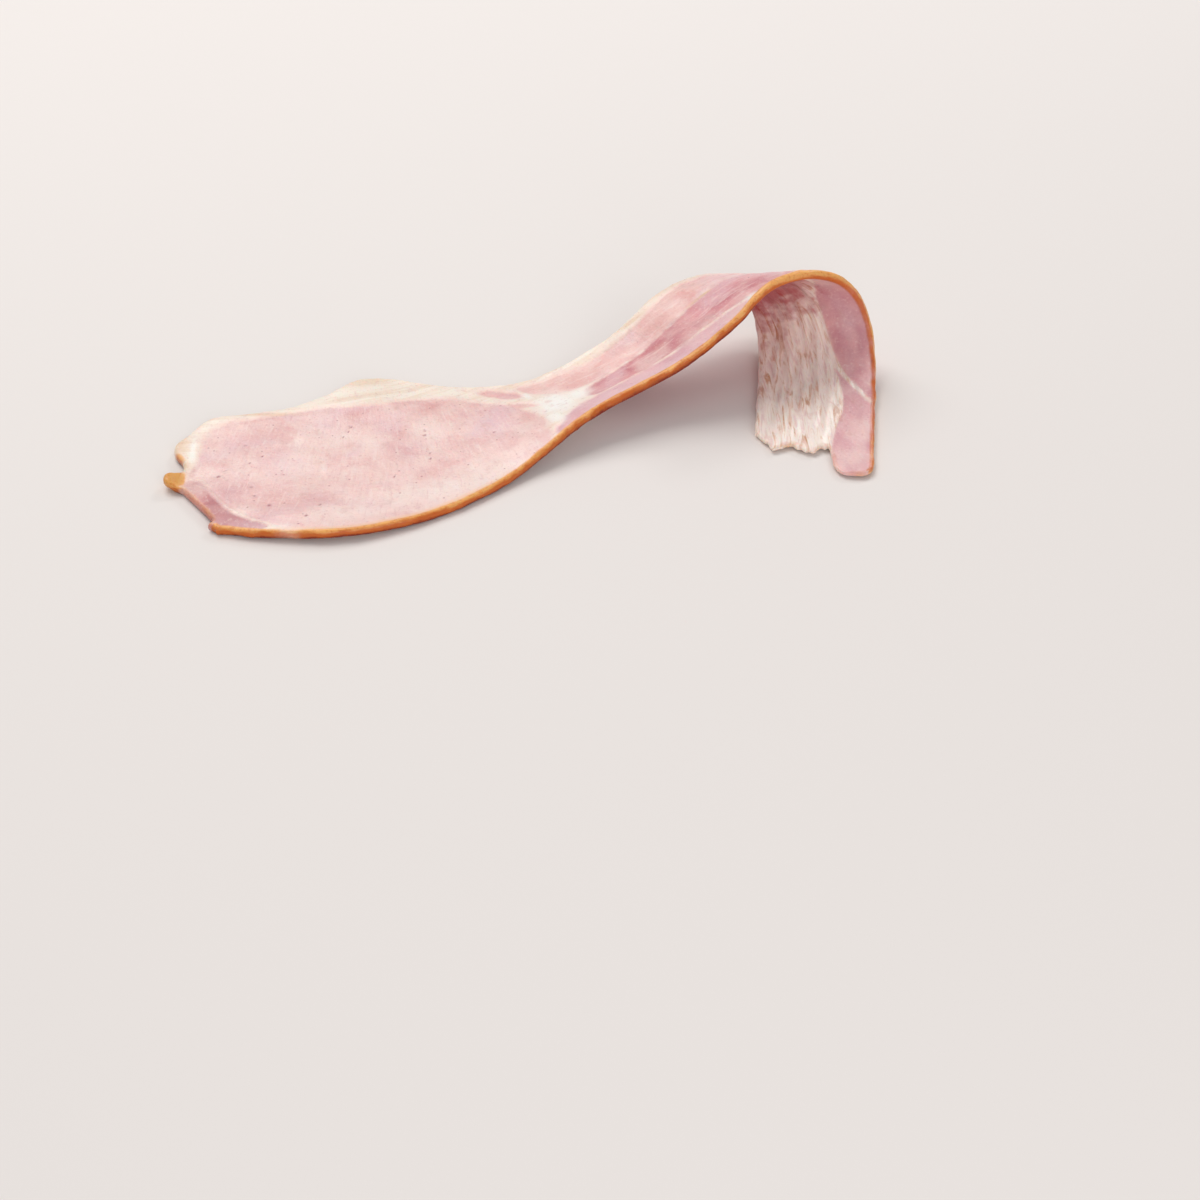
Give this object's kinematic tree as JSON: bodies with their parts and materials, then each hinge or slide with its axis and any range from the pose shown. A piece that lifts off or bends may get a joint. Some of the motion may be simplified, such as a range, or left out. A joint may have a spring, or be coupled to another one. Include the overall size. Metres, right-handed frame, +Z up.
{
  "type": "raw bacon rasher",
  "caption": "Raw middle-cut bacon slice: a round lean loin lying flat, a streaky strip that rises, rolls over and comes back under as a short flat tail.",
  "frame": {"origin": "middle of the bounding box in plan, on the table that the slice lies on", "axes": "+X along the slice from the loin to the fold, +Y from the smoked edge to the fat edge of the loin, +Z up"},
  "size_m": [0.2424, 0.1335, 0.0425],
  "materials": {
    "raw_bacon": "moist, softly glossy cut meat with cream fat and a smoked brown edge"
  },
  "bodies": {
    "root": {"rasher": "raw_bacon"}
  },
  "joints": []
}
